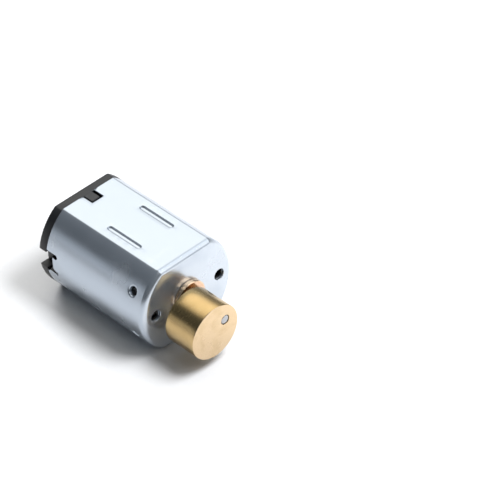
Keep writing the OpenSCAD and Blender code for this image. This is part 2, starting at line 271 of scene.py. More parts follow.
class Outline:
    """The flat-sided section: two flats, two round sides, and a small arc at each corner.

    A place on it is a length s along the reference outline, from the middle of the +Y side
    towards +Z. An inner outline uses the same s, so that the two can be joined."""

    def __init__(self, radius, flat, corner, reference=None):
        self.radius = radius
        self.flat = flat
        self.corner = corner
        self.corner_y = math.sqrt((radius - corner) ** 2 - (flat - corner) ** 2)
        self.corner_z = flat - corner
        self.angle = math.atan2(self.corner_z, self.corner_y)
        own = [radius * self.angle, corner * (math.pi / 2 - self.angle), self.corner_y]
        self.lengths = reference.lengths if reference else own
        self.quarter = sum(self.lengths)
        self.whole = 4 * self.quarter

    def _in_quarter(self, d):
        side, corner, flat = self.lengths
        if d <= side:
            a = self.angle * d / side
            return (self.radius * math.cos(a), self.radius * math.sin(a)), (math.cos(a), math.sin(a))
        if d <= side + corner:
            a = self.angle + (math.pi / 2 - self.angle) * (d - side) / corner
            place = (self.corner_y + self.corner * math.cos(a),
                     self.corner_z + self.corner * math.sin(a))
            return place, (math.cos(a), math.sin(a))
        return (self.corner_y * (1 - (d - side - corner) / flat), self.flat), (0.0, 1.0)

    def at(self, s):
        """(y, z) and the outward normal at s."""
        s %= self.whole
        quadrant = int(s // self.quarter)
        d = s - quadrant * self.quarter
        if quadrant in (1, 3):
            d = self.quarter - d
        (y, z), (ny, nz) = self._in_quarter(d)
        sy = 1 if quadrant in (0, 3) else -1
        sz = 1 if quadrant in (0, 1) else -1
        return (sy * y, sz * z), (sy * ny, sz * nz)

    def samples(self):
        """Lengths s of the points round the whole outline."""
        quarter = []
        start = 0.0
        for length, count in zip(self.lengths, (20, 4, 5)):
            quarter.extend(start + length * i / count for i in range(count))
            start += length
        mirrored = [self.quarter * 2 - d for d in quarter[1:]] + [self.quarter]
        half = sorted(quarter + mirrored)
        return half + [self.quarter * 2 + d for d in half]

    def ring(self, x, samples):
        return [(x, *self.at(s)[0]) for s in samples]


def circle(x, radius, count):
    angles = [i * 2 * math.pi / count for i in range(count)]
    return [(x, radius * math.cos(a), radius * math.sin(a)) for a in angles]


# ---------------- the can

CORNER = 0.3                     # softness of the ridge between a flat and a round side
FRONT_EDGE = 0.58
FRONT_EDGE_START = math.radians(20)      # the rounding leaves the side at this angle
STAKE_X = -1.95                  # the dimples that hold the magnets
LIP = 0.06
SEAM = 1.2                       # the unrolled side is cut 1.2 mm beside the bottom flat's middle
SLIT_ANGLE = math.radians(10)
GROOVE_Y = 2.15                  # the long grooves in the flats
GROOVE_X = -6.35
STAKE_ANGLE = math.radians(27)
TAPPED_RADIUS = 0.62             # the two screw holes in the front, and the locating hole
TAPPED_Y = 4.25
LOCATING_RADIUS = 0.45
LOCATING_Y = -3.6
BEARING_HOLE = 1.41
TAB_HALF = 0.8                   # the tabs bent into the cap's recesses
TAB_BEND = CAN_REAR + 1.1
TAB_BEND_RADIUS = 0.45
TAB_BEND_ANGLE = math.radians(60)

outer = Outline(ROUND, FLAT, CORNER)
inner = Outline(ROUND - WALL, FLAT - WALL, 0.1, outer)

# what is pressed into the sheet, as (distance outside the edge, depth)
GROOVE_RINGS = [(0.1, 0.0), (0.05, 0.012), (0.02, 0.045), (-0.02, 0.12), (-0.06, 0.17),
                (-0.12, 0.19), (-0.25, 0.195)]
DIMPLE_RINGS = [(0.2, 0.0), (0.1, 0.012), (0.04, 0.05), (-0.01, 0.14), (-0.06, 0.3),
                (-0.12, 0.44), (-0.22, 0.52), (-0.36, 0.55), (-0.5, 0.555)]
MARK_RINGS = [(0.1, 0.0), (0.05, 0.012), (0.0, 0.03), (-0.06, 0.03), (-0.14, 0.012), (-0.26, 0.01)]


def side_features():
    """Everything stamped into or cut through the can's side, in (s, x)."""
    found = []
    middle_top = outer.quarter
    middle_bottom = 3 * outer.quarter
    for middle in (middle_top, middle_bottom):
        for offset in (-GROOVE_Y, GROOVE_Y):
            found.append(Feature((middle + offset, GROOVE_X), (0, 2.0), 0.25, GROOVE_RINGS))
        found.append(Feature((middle, CAN_REAR), (0.65, 1.35), 0.1, rounded_lip(LIP), cut=True))
    for side in (0, 2 * outer.quarter):
        for way in (-1, 1):
            dimple = side + way * ROUND * STAKE_ANGLE
            found.append(Feature((dimple, STAKE_X), (0, 0), 0.5, DIMPLE_RINGS))
            slit = side + way * ROUND * SLIT_ANGLE
            found.append(Feature((slit, CAN_REAR), (0, 1.3), 0.25, rounded_lip(0.04), cut=True))
        found.append(Feature((side, CAN_REAR + 1.6), (0, 0), 0.26, MARK_RINGS))
    return found


def side_distance(s):
    """Distance along the outline from the middle of the nearer round side."""
    half = outer.whole / 2
    return abs((s + half / 2) % half - half / 2)


def bent(s, x, thickness):
    """How the crimped tab leaves the side: the place of (s, x) as (x, inset) below the surface."""
    run = TAB_BEND - x
    if run <= 0 or side_distance(s) > TAB_HALF + 0.05:
        return x, thickness
    arc = TAB_BEND_RADIUS * TAB_BEND_ANGLE
    turn = min(run, arc) / TAB_BEND_RADIUS
    rest = max(run - arc, 0.0)
    along = TAB_BEND_RADIUS * math.sin(turn) + rest * math.cos(turn)
    down = TAB_BEND_RADIUS * (1 - math.cos(turn)) + rest * math.sin(turn)
    return TAB_BEND - along + thickness * math.sin(turn), down + thickness * math.cos(turn)


def build_can(material):
    mesh = Mesh()
    samples = outer.samples()
    start = 3 * outer.quarter + SEAM
    ordered = sorted((s if s >= start else s + outer.whole) for s in samples)
    columns = [start] + [s for s in ordered if s > start + 0.05] + [start + outer.whole]
    front = -WALL
    rows = [front, -0.9, *range(-3, -13, -1), TAB_BEND, TAB_BEND - 0.17, TAB_BEND - 0.35, TAB_BEND - 0.52,
            CAN_REAR + 0.1, CAN_REAR + 0.05, CAN_REAR + 0.02, CAN_REAR]
    border = [(s, x) for s in columns for x in (front, CAN_REAR)]
    border += [(s, x) for s in (columns[0], columns[-1]) for x in rows]
    grid = [(s, x) for s in columns[1:-1] for x in rows[1:-1]]
    features = []
    for f in side_features():
        for shift in (0, outer.whole):
            moved = f.centre[0] + shift
            if start < moved < start + outer.whole:
                features.append(Feature((moved, f.centre[1]), f.half, f.radius, f.rings, f.cut))
    domain = Domain(border, grid, features, lowest=CAN_REAR, clearance=0.06)

    def outside(s, x):
        edge = float(np.interp(x, [CAN_REAR, CAN_REAR + 0.02, CAN_REAR + 0.05], [0.04, 0.01, 0.0]))
        place, normal = outer.at(s)
        moved_x, inset = bent(s, x, 0.0)
        inset += min(domain.depth(s, x) + edge, 0.55)
        return moved_x, place[0] - inset * normal[0], place[1] - inset * normal[1]

    def inside(s, x):
        pressed = sum(f.depth(s, x) for f in features if not f.cut)
        if TAB_BEND - x > 0 and side_distance(s) < TAB_HALF + 0.05:
            place, normal = outer.at(s)
            moved_x, inset = bent(s, x, TAB_BEND_RADIUS)
        else:
            place, normal = inner.at(s)
            moved_x, inset = x, 0.8 * pressed
        return moved_x, place[0] - inset * normal[0], place[1] - inset * normal[1]

    def cut_edge(p, q):
        from_ends = min(abs(p[0] - columns[0]), abs(p[0] - columns[-1]))
        on_seam = abs(p[0] - q[0]) < 1e-6 and from_ends < 1e-6
        on_front = min(p[1], q[1]) > front - 1e-6
        return not on_seam and not on_front

    mesh.skins(domain, outside, inside, cut_edge)
    ring_samples = columns[:-1]
    rings = [outer.ring(front, ring_samples)]
    for i in range(8):
        angle = FRONT_EDGE_START + (math.pi / 2 - FRONT_EDGE_START) * i / 7
        low = math.sin(FRONT_EDGE_START)
        x = FRONT_EDGE * ((math.sin(angle) - low) / (1 - low) - 1)
        inset = FRONT_EDGE * (1 - math.cos(angle) / math.cos(FRONT_EDGE_START))
        section = Outline(ROUND - inset, FLAT - inset, max(CORNER - 0.55 * inset, 0.04), outer)
        rings.append(section.ring(x, ring_samples))
    mesh.loft(rings)
    add_front_face(mesh, rings[-1], inner.ring(front, ring_samples), front)
    mesh.make("can_shell", material, "housing", ["can"])


def add_front_face(mesh, edge, inner_edge, back):
    """The flat front, with its two tapped holes, the locating hole and the bearing's hole."""
    tapped = [Feature((y, 0), (0, 0), TAPPED_RADIUS, rounded_lip(0.08), cut=True)
              for y in (-TAPPED_Y, TAPPED_Y)]
    plain = [Feature((0, LOCATING_Y), (0, 0), LOCATING_RADIUS, rounded_lip(LIP), cut=True),
             Feature((0, 0), (0, 0), BEARING_HOLE, rounded_lip(LIP), cut=True, corner_steps=16)]
    holes = tapped + plain
    border = [(y, z) for _, y, z in edge]
    grid = [(y, z) for y in np.arange(-4.5, 4.6, 0.9) for z in np.arange(-3.6, 3.7, 0.9)
            if math.hypot(y, z) < 5.0]
    domain = Domain(border, grid, holes)
    matched = {(round(a[1], 4), round(a[2], 4)): b for a, b in zip(edge, inner_edge)}

    def outside(y, z):
        return -sum(h.depth(y, z) for h in holes), y, z

    def inside(y, z):
        key = (round(y, 4), round(z, 4))
        if key in matched:
            return matched[key]
        return back, y, z

    def plain_edge(p, q):
        return any(h.distance(*p) < 0.01 for h in plain)

    mesh.skins(domain, outside, inside, plain_edge)
    for hole in tapped:
        add_thread(mesh, hole, back)


def add_thread(mesh, hole, back):
    """The wall of a tapped hole, with the thread's crests and roots along it."""
    stations = [(-0.08, 0.0), (-0.2, 0.0), (-0.26, 0.07), (-0.32, 0.0), (-0.38, 0.0), (-0.44, 0.07),
                (-0.5, 0.0), (-0.56, 0.0), (back, 0.03)]
    stations.append((back, 0.0))
    mesh.loft([[(x, y, z) for y, z in hole.loop(out)] for x, out in stations])


# ---------------- the end cap

RECESS_HALF = 1.0
RECESS_FLOOR = ROUND - 1.15
KEY_HALF = 0.53
CAP_FLAT = FLAT - 0.12           # the rim and its keys lie a little under the can's flats
BEARING_POCKET = 1.5
HUB_HOLE = 0.7
HUB_OPENING = 0.78               # where the hole's rounded edge ends


def cap_ring(x, radius, flat, corner, recess_half, recess_floor, key_top):
    """One section of the cap: flat-sided, with a recess in each round side and a key on each flat."""
    outline = Outline(radius, flat, corner)
    wall_angle = math.asin(recess_half / radius)
    quarter = [(recess_floor, 0.0), (recess_floor, recess_half * 0.5), (recess_floor, recess_half)]
    for i in range(19):
        a = wall_angle + (outline.angle - wall_angle) * i / 18
        quarter.append((radius * math.cos(a), radius * math.sin(a)))
    for i in range(1, 5):
        a = outline.angle + (math.pi / 2 - outline.angle) * i / 4
        quarter.append((outline.corner_y + corner * math.cos(a),
                        outline.corner_z + corner * math.sin(a)))
    quarter += [(KEY_HALF + 1.2, flat), (KEY_HALF + 0.04, flat), (KEY_HALF, flat)]
    quarter += [(KEY_HALF, key_top - 0.05 if key_top > flat else flat),
                (KEY_HALF - 0.05, key_top), (KEY_HALF * 0.5, key_top), (0.0, key_top)]
    half = quarter + [(-y, z) for y, z in reversed(quarter[:-1])]
    whole = half + [(-y, -z) for y, z in half[1:-1]]
    return [(x, y, z) for y, z in whole]


def build_end_cap(material):
    mesh = Mesh()
    plug_radius, plug_flat = ROUND - WALL - 0.03, FLAT - WALL - 0.03
    key_front = CAN_REAR + 1.15
    chamber_radius, chamber_flat = 4.4, 3.9
    chamber_floor = RIM_REAR + 0.7
    rings = []

    def ring(x, inset=0.0, plug=False, key=None):
        radius, flat = (plug_radius, plug_flat) if plug else (ROUND, CAP_FLAT)
        corner = max((0.2 if plug else CORNER) - 0.5 * inset, 0.05)
        top = key if key is not None else flat - inset
        rings.append(cap_ring(x, radius - inset, flat - inset, corner,
                              RECESS_HALF + 0.6 * inset, RECESS_FLOOR - 0.3 * inset, top))

    for x, inset, key in ((PLUG_FRONT, 0.12, None), (PLUG_FRONT - 0.12, 0.0, None),
                          (key_front, 0.0, None), (key_front, 0.0, CAP_FLAT - 0.06),
                          (key_front - 0.06, 0.0, CAP_FLAT), (CAN_REAR, 0.0, CAP_FLAT)):
        ring(x, inset, True, key)
    ring(CAN_REAR, 0.03)
    ring(CAN_REAR - 0.015, 0.015)
    ring(CAN_REAR - 0.06)
    for out, deep in rounded_lip(0.22):
        ring(RIM_REAR + out, deep)
    mesh.loft(rings)

    # inside: the chamber for the commutator and brushes, then the rear bearing's pocket
    chamber = Outline(chamber_radius, chamber_flat, 0.3)
    turned = [math.atan2(z, y) for _, y, z in rings[0]]

    def chamber_ring(x, inset):
        points = []
        for a in turned:
            reach = min(chamber.radius - inset, (chamber.flat - inset) / max(abs(math.sin(a)), 1e-6))
            points.append((x, reach * math.cos(a), reach * math.sin(a)))
        return points

    stepped = [(chamber_floor, BEARING_POCKET + 0.06), (chamber_floor - 0.06, BEARING_POCKET),
               (HUB_REAR + 0.45, BEARING_POCKET), (HUB_REAR + 0.45, HUB_HOLE),
               (HUB_REAR + 0.08, HUB_HOLE), (HUB_REAR + 0.02, HUB_HOLE + 0.02),
               (HUB_REAR, HUB_OPENING)]
    mesh.loft([rings[0], chamber_ring(PLUG_FRONT, 0.0), chamber_ring(chamber_floor + 0.1, 0.0),
               chamber_ring(chamber_floor, 0.1)]
              + [[(x, r * math.cos(a), r * math.sin(a)) for a in turned] for x, r in stepped])
    add_cap_back(mesh, rings[-1], turned)
    mesh.make("end_cap_moulding", material, "housing", ["end_cap"])


def add_cap_back(mesh, edge, turned):
    """The cap's rear face with its terminal slots, and the hub that stands on it."""
    hub, foot = 2.8, 2.92
    slot_rings = [(0.09, 0.0), (0.05, 0.008), (0.02, 0.03), (0.0, 0.08), (-0.01, 0.3)]
    features = [Feature((y, 0), (0.11, 0.86), 0.07, slot_rings, corner_steps=3) for y in (-3.7, 3.7)]
    mark = [(0.03, 0.0), (0.0, 0.012), (-0.03, 0.035), (-0.1, 0.035)]
    features += [Feature((0, z), (0, 0), 0.45, mark) for z in (-3.95, 3.95)]
    opening = Feature((0, 0), (0, 0), foot, [(0.0, 0.0)], cut=True, corner_steps=24)
    border = [(y, z) for _, y, z in edge]
    domain = Domain(border, [], [opening] + features)
    domain.faces = [f for f in domain.faces
                    if inside_polygon(*centre_of(domain.points, f), border)]
    mesh.patch([(RIM_REAR + sum(f.depth(y, z) for f in features), y, z) for y, z in domain.points],
               domain.faces)
    profile = [(RIM_REAR, foot), (RIM_REAR - 0.014, 2.86), (RIM_REAR - 0.05, 2.815),
               (RIM_REAR - 0.12, hub)]
    profile += [(HUB_REAR + out, hub - 0.02 - deep) for out, deep in rounded_lip(0.34, 6)]
    profile.append((HUB_REAR, 1.6))
    rings = [circle(x, r, 96) for x, r in profile]
    mesh.loft(rings)
    opening_edge = [(HUB_OPENING * math.cos(a), HUB_OPENING * math.sin(a)) for a in turned]
    fill_between(mesh, [(y, z) for _, y, z in rings[-1]], opening_edge, HUB_REAR)


def inside_polygon(y, z, polygon):
    inside = False
    for (y0, z0), (y1, z1) in zip(polygon, polygon[1:] + polygon[:1]):
        if (z0 > z) != (z1 > z) and y < (y1 - y0) * (z - z0) / (z1 - z0) + y0:
            inside = not inside
    return inside


def fill_between(mesh, big, small, x):
    """A flat face at x between two rings round the shaft axis, whatever their point counts."""
    edges = [(i, (i + 1) % len(big)) for i in range(len(big))]
    edges += [(len(big) + i, len(big) + (i + 1) % len(small)) for i in range(len(small))]
    points, faces = triangulated(big + small, edges)
    faces = [f for f in faces if not inside_polygon(*centre_of(points, f), small)]
    mesh.patch([(x, y, z) for y, z in points], faces)


# ---------------- weight, shaft, bearing

WEIGHT_RADIUS = (WEIGHT_HIGH.z - WEIGHT_LOW.z) / 2
WEIGHT_CENTRE = ((WEIGHT_HIGH.y + WEIGHT_LOW.y) / 2, (WEIGHT_HIGH.z + WEIGHT_LOW.z) / 2)
WEIGHT_TURN = math.atan2(WEIGHT_CENTRE[1], WEIGHT_CENTRE[0])
SHAFT_RADIUS = SHAFT_HIGH.z
BORE = 0.53
WEIGHT_EDGE = 0.08
NOTCH_TURN = WEIGHT_TURN + math.pi - math.radians(8)     # where the notch is round the weight


def stake_depth(turn, x):
    """Depth of the notch pressed across the thin side: steep in front, sloping behind."""
    off = (turn - NOTCH_TURN) % (2 * math.pi)
    off = min(off, 2 * math.pi - off)
    chord = WEIGHT_RADIUS - (WEIGHT_RADIUS - 0.3) / max(math.cos(off), 0.5)
    slope = float(np.interp(x, [2.72, 2.8, 3.25, 3.36, 3.64, 3.69, 3.72],
                            [0.0, 0.025, 0.265, 0.3, 0.3, 0.24, 0.0]))
    return max(min(chord, slope), 0.0)


def build_weight(material):
    mesh = Mesh()
    rear, front = WEIGHT_LOW.x, WEIGHT_HIGH.x
    span = math.radians(28)          # the points lie closer together across the notch
    fine = np.linspace(-span, span, 58)
    coarse = np.linspace(span, 2 * math.pi - span, 107)[1:-1]
    turns = [NOTCH_TURN + turn for turn in (*fine, *coarse)]
    stations = [2.0, 2.6, 2.7, 2.74, 2.8, 2.9, 3.0, 3.1, 3.2, 3.26, 3.3, 3.36, 3.45, 3.55, 3.62,
                3.66, 3.685, 3.7, 3.715, 3.75, 3.85, 4.4]

    def ring(x, inset=0.0):
        points = []
        for a in turns:
            r = WEIGHT_RADIUS - inset - stake_depth(a, x)
            points.append((x, WEIGHT_CENTRE[0] + r * math.cos(a), WEIGHT_CENTRE[1] + r * math.sin(a)))
        return points

    edge = rounded_lip(WEIGHT_EDGE)
    rings = [ring(rear + out, deep) for out, deep in reversed(edge)]
    rings += [ring(x) for x in stations]
    rings += [ring(front - out, deep) for out, deep in edge]
    mesh.loft(rings)
    lip = rounded_lip(0.05)
    for x, way, edge in ((front, -1, rings[-1]), (rear, 1, rings[0])):
        hole = Feature((0, 0), (0, 0), BORE, lip, cut=True, corner_steps=10)
        domain = Domain([(y, z) for _, y, z in edge], [], [hole])
        mesh.patch([(x + way * hole.depth(y, z), y, z) for y, z in domain.points], domain.faces)
    mesh.loft([circle(front - 0.05, BORE, 40), circle(rear + 0.05, BORE, 40)])
    mesh.make("eccentric_weight_turned", material, "rotor", ["eccentric_weight"])


def build_turned(name, profile, material, body, replaced, count, closed=False):
    """A part turned about the shaft axis from an (x, radius) profile. A closed one is a ring."""
    mesh = Mesh()
    ids = mesh.loft([circle(x, r, count) for x, r in profile])
    if closed:
        mesh.bridge(ids[-1], ids[0])
    else:
        mesh.faces.append(tuple(ids[0]))
        mesh.faces.append(tuple(ids[-1]))
    mesh.make(name, material, body, replaced)


def build_shaft(material):
    r, rear, front = SHAFT_RADIUS, SHAFT_LOW.x, SHAFT_HIGH.x
    profile = [(rear, r - 0.1), (rear + 0.1, r)]
    profile += [(x, r) for x in np.linspace(rear + 0.2, front - 0.13, 12)]
    profile += [(front - 0.09, r - 0.012), (front - 0.05, r - 0.05), (front - 0.028, r - 0.12),
                (front - 0.014, r - 0.28), (front - 0.01, 0.06)]
    build_turned("shaft_ground", profile, material, "rotor", ["shaft"], 48)


def build_front_bearing(material):
    bore = SHAFT_RADIUS + 0.03
    flange = BEARING_HIGH.y
    front = BEARING_HIGH.x
    rear, body = 0.01, 1.39
    profile = [(front - 0.09, bore), (front - 0.02, bore + 0.02), (front, bore + 0.09),
               *[(front - deep, flange - out) for out, deep in rounded_lip(0.1)],
               (rear + 0.1, flange), (rear + 0.03, flange - 0.02), (rear, flange - 0.08),
               (rear, body), (BEARING_LOW.x, body), (BEARING_LOW.x, bore)]
    build_turned("front_bearing_bush", profile, material, "housing",
                 ["front_bearing"], 72, closed=True)


# ---------------- terminals

def build_terminal(side, material):
    """A flat tab with a round end and a solder hole, its edges rolled over by the stamping."""
    mesh = Mesh()
    low_x = TERMINAL_LOW.x
    width, edge = 0.9, 0.07
    inner_end = RIM_REAR + 0.3
    centre_x = (low_x + inner_end) / 2
    half_x = (inner_end - low_x) / 2 - width
    middle = (TERMINAL_LOW.y + TERMINAL_HIGH.y) / 2 * side
    half_thick = (TERMINAL_HIGH.y - TERMINAL_LOW.y) / 2
    tab = Feature((0, centre_x), (0, half_x), width, [(0, 0)], corner_steps=10)
    hole = Feature((0, low_x + width), (0, 0), 0.45, rounded_lip(edge), cut=True)
    for way in (-1, 1):
        flat_y = middle + way * half_thick
        mesh.loft([[(v, flat_y - way * drop, u) for u, v in tab.loop(-inset)]
                   for drop, inset in rounded_lip(edge)])
        domain = Domain(tab.loop(-edge), [], [hole])
        mesh.patch([(v, flat_y - way * hole.depth(u, v), u) for u, v in domain.points], domain.faces)
    for loop in (tab.loop(0), hole.loop(0)):
        mesh.loft([[(v, middle + way * (half_thick - edge), u) for u, v in loop]
                   for way in (-1, 1)])
    name = "left" if side > 0 else "right"
    mesh.make(f"terminal_{name}_tab", material, "housing", [f"terminal_{name}"])


# ---------------- materials

class Nodes:
    """A node tree being built."""

    def __init__(self, tree):
        self.tree = tree

    def link(self, source, target):
        self.tree.links.new(source, target)

    def node(self, kind, inputs=(), **settings):
        """A new node; inputs maps its sockets to values, or to the sockets they are fed from."""
        made = self.tree.nodes.new(kind)
        for key, value in settings.items():
            setattr(made, key, value)
        for socket, value in dict(inputs).items():
            if isinstance(value, bpy.types.NodeSocket):
                self.link(value, made.inputs[socket])
            else:
                made.inputs[socket].default_value = value
        return made

    def vector(self, operation, inputs):
        return self.node("ShaderNodeVectorMath", inputs, operation=operation).outputs

    def mapped(self, value, start, end, low, high, **settings):
        """value between start and end, mapped to low and high."""
        inputs = {"Value": value, "From Min": start, "From Max": end, "To Min": low, "To Max": high}
        return self.node("ShaderNodeMapRange", inputs, **settings).outputs["Result"]


class Finish(Nodes):
    """A material being built: one Principled shader, and short ways to add procedural detail.

    All patterns are laid out in millimetres in the CAD frame."""

    def __init__(self, name, metallic=0.0, **sockets):
        self.material = bpy.data.materials.new(name)
        self.material.use_nodes = True
        super().__init__(self.material.node_tree)
        self.shader = self.tree.nodes["Principled BSDF"]
        for socket, value in {"Metallic": metallic, **sockets}.items():
            self.shader.inputs[socket.replace("_", " ")].default_value = value
        place = self.node("ShaderNodeTexCoord").outputs["Object"]
        self.place = self.vector("SCALE", {0: place, "Scale": 1 / MM})[0]
        self.x, self.y, self.z = self.node("ShaderNodeSeparateXYZ", {0: self.place}).outputs
        self.height = None

    def stretched(self, x, y, z):
        """The place, stretched so that a pattern is finer or coarser along each axis."""
        return self.vector("MULTIPLY", {0: self.place, 1: (x, y, z)})[0]

    def noise(self, per_mm, detail=3.0, roughness=0.5, place=None):
        inputs = {"Vector": place or self.place, "Scale": per_mm, "Detail": detail,
                  "Roughness": roughness}
        return self.node("ShaderNodeTexNoise", inputs).outputs["Fac"]

    def cells(self, per_mm):
        inputs = {"Vector": self.place, "Scale": per_mm}
        return self.node("ShaderNodeTexVoronoi", inputs).outputs["Distance"]

    def lines(self, along, per_mm):
        """Noise that changes only with one number, such as a distance: fine parallel lines."""
        inputs = {"W": along, "Scale": per_mm, "Detail": 4.0, "Roughness": 0.65}
        return self.node("ShaderNodeTexNoise", inputs, noise_dimensions="1D").outputs["Fac"]

    def radius(self, y=0.0, z=0.0):
        """Distance from a line along X through (y, z)."""
        parts = []
        for source, centre in ((self.y, y), (self.z, z)):
            moved = self.math("SUBTRACT", source, centre)
            parts.append(self.times(moved, moved))
        return self.math("SQRT", self.add(*parts))

    def math(self, operation, a, b=None):
        inputs = {0: a} if b is None else {0: a, 1: b}
        return self.node("ShaderNodeMath", inputs, operation=operation).outputs[0]

    def add(self, *values):
        total = values[0]
        for value in values[1:]:
            total = self.math("ADD", total, value)
        return total

    def times(self, a, b):
        return self.math("MULTIPLY", a, b)

    def spread(self, value, low, high, start=0.3, end=0.7):
        return self.mapped(value, start, end, low, high)

    def convex_edges(self, low, high):
        """1 on convex edges and 0 elsewhere."""
        pointed = self.node("ShaderNodeNewGeometry").outputs["Pointiness"]
        return self.spread(pointed, 0.0, 1.0, low, high)

    def tint(self, factor, *stops):
        """The base colour from a 0 to 1 factor; stops are (position, colour)."""
        made = self.node("ShaderNodeValToRGB", {"Fac": factor})
        ramp = made.color_ramp
        while len(ramp.elements) < len(stops):
            ramp.elements.new(0.5)
        for element, (position, colour) in zip(ramp.elements, stops):
            element.position = position
            element.color = (*colour, 1)
        self.link(made.outputs["Color"], self.shader.inputs["Base Color"])

    def rough(self, value, low, high, start=0.3, end=0.7):
        self.link(self.spread(value, low, high, start, end), self.shader.inputs["Roughness"])

    def bump(self, height, depth, strength=0.5):
        """Adds relief; depth is in millimetres."""
        inputs = {"Height": height, "Distance": depth * MM, "Strength": strength}
        if self.height is not None:
            inputs["Normal"] = self.height
        self.height = self.node("ShaderNodeBump", inputs).outputs["Normal"]
        self.link(self.height, self.shader.inputs["Normal"])


def plated_steel():
    """Zinc-plated deep-drawn sheet: soft dents, faint drawing lines along X, cloudy gloss, with painted
    shade in its cut walls, holes and stake bottoms, and a front face painted paler than the round sides.
    """
    f = Finish("plated_steel", 0.87)
    cloud = f.noise(0.35, 2, 0.5)
    dents = f.noise(0.9, 2, 0.5)
    drawn = f.noise(2.5, 4, 0.65, f.stretched(0.12, 2.0, 2.0))
    # painted shade: where sheared(f) is 1 the factor falls to the ramp's near-black first stop
    shade = f.times(cloud, f.math("SUBTRACT", 1.0, sheared(f)))
    # painted light: the front face is tinted paler than the round sides
    painted_front_light = f.spread(f.x, 0.0, 0.3, -0.35, -0.05)
    shade = f.add(f.times(shade, 0.7), painted_front_light)
    f.tint(shade, (0.0, (0.035, 0.037, 0.04)), (0.12, (0.43, 0.478, 0.54)),
           (0.42, (0.462, 0.512, 0.575)), (0.65, (0.59, 0.635, 0.69)))
    f.rough(cloud, 0.21, 0.28)
    f.bump(dents, 0.006)
    f.bump(drawn, 0.0008)
    return f.material


def sheared(f):
    """1 where painted shade darkens the sheet, and 0 elsewhere: it stands in for the shade in the walls
    of the slits, notches and front holes, and at the bottoms of the magnet stakes."""
    below_side = f.math("SUBTRACT", ROUND, f.radius())
    below_flat = f.math("SUBTRACT", FLAT, f.math("ABSOLUTE", f.z))
    depth = f.math("MINIMUM", below_side, below_flat)
    rear = f.spread(f.x, 1.0, 0.0, CAN_REAR + 1.6, CAN_REAR + 1.7)
    rear = f.times(rear, f.spread(depth, 0.0, 1.0, 0.04, 0.12))
    stakes = f.spread(f.math("ABSOLUTE", f.math("SUBTRACT", f.x, STAKE_X)), 1.0, 0.0, 0.6, 0.7)
    stakes = f.times(stakes, f.spread(depth, 0.0, 1.0, 0.22, 0.36))
    holes = f.spread(f.x, 1.0, 0.0, -0.12, -0.05)
    holes = f.times(holes, f.spread(depth, 0.0, 1.0, WALL + 0.1, WALL + 0.2))
    return f.math("MAXIMUM", rear, f.math("MAXIMUM", stakes, holes))


def black_plastic():
    """Glass-filled moulded plastic: fine grain, and convex edges tinted paler, partly edge wear and
    partly a painted highlight.
    """
    f = Finish("black_plastic", Specular_IOR_Level=0.45)
    grain = f.noise(9, 4, 0.6)
    patch = f.noise(0.8, 3)
    # painted highlight: convex edges are tinted paler, partly edge wear and partly a painted sheen
    edge = f.convex_edges(0.53, 0.62)
    shade = f.add(f.times(patch, 0.6), f.times(edge, 0.25))
    f.tint(shade, (0.2, (0.006, 0.0065, 0.008)), (0.55, (0.012, 0.013, 0.0155)),
           (0.9, (0.045, 0.047, 0.053)))
    f.rough(patch, 0.36, 0.5)
    f.bump(grain, 0.010)
    f.bump(f.noise(1.6, 2), 0.02, 0.25)
    return f.material


def brass():
    """Free-cutting brass turned on its own axis: fine tool lines, and a satin face tinted paler than the
    side as painted light.
    """
    f = Finish("brass", 1.0)
    from_axis = f.radius(*WEIGHT_CENTRE)
    along = f.lines(f.x, 9)
    across = f.lines(from_axis, 7)
    cloud = f.noise(0.7, 3, 0.55)
    fine = f.noise(7, 3, 0.6, f.stretched(1.5, 0.4, 0.4))
    mixed = f.add(f.times(cloud, 0.65), f.times(along, 0.35))
    # painted light: the front face is tinted paler than the turned side
    faced = f.spread(f.x, 0.0, 0.35, WEIGHT_HIGH.x - 0.08, WEIGHT_HIGH.x - 0.02)
    mixed = f.add(f.times(mixed, 0.6), faced)
    f.tint(mixed, (0.18, (0.45, 0.31, 0.14)), (0.3, (0.48, 0.34, 0.157)),
           (0.43, (0.51, 0.365, 0.175)), (0.65, (0.72, 0.54, 0.34)))
    f.rough(fine, 0.21, 0.28)
    f.bump(along, 0.004)
    f.bump(across, 0.003, 0.4)
    return f.material


def sintered_bronze():
    """Pressed bronze powder: dark pores between the grains, painted shade on the face near the bore,
    where the weight shades it, and a painted highlight round the rim.
    """
    f = Finish("sintered_bronze", 1.0)
    pores = f.cells(9)
    grains = f.noise(6, 4, 0.6)
    # painted shade: the face near the bore is darkened towards the ramp's dark first stop
    painted_bore_shade = f.spread(f.radius(), -0.45, 0.0, 1.1, 1.5)
    # painted highlight: the rim is lightened towards the ramp's pale last stop
    painted_rim_highlight = f.spread(f.radius(), 0.0, 0.25, 1.74, 1.83)
    shade = f.add(grains, painted_bore_shade, painted_rim_highlight)
    f.tint(shade, (0.05, (0.24, 0.14, 0.09)), (0.3, (0.60, 0.38, 0.25)), (0.5, (0.71, 0.48, 0.33)),
           (0.8, (0.92, 0.70, 0.48)))
    f.rough(pores, 0.34, 0.17, 0.1, 0.4)
    f.bump(f.spread(pores, 0.0, 1.0, 0.05, 0.3), 0.003, 0.6)
    f.bump(grains, 0.002, 0.4)
    return f.material


def tinned_metal():
    """Brass strip dipped in tin: soft waves and small bright grains."""
    f = Finish("tinned_metal", 1.0)
    wave = f.noise(1.1, 2, 0.5)
    grain = f.noise(8, 3)
    f.tint(wave, (0.3, (0.74, 0.735, 0.70)), (0.55, (0.85, 0.85, 0.83)), (0.75, (0.90, 0.90, 0.90)))
    f.rough(grain, 0.14, 0.3)
    f.bump(wave, 0.04, 0.4)
    f.bump(grain, 0.003)
    return f.material


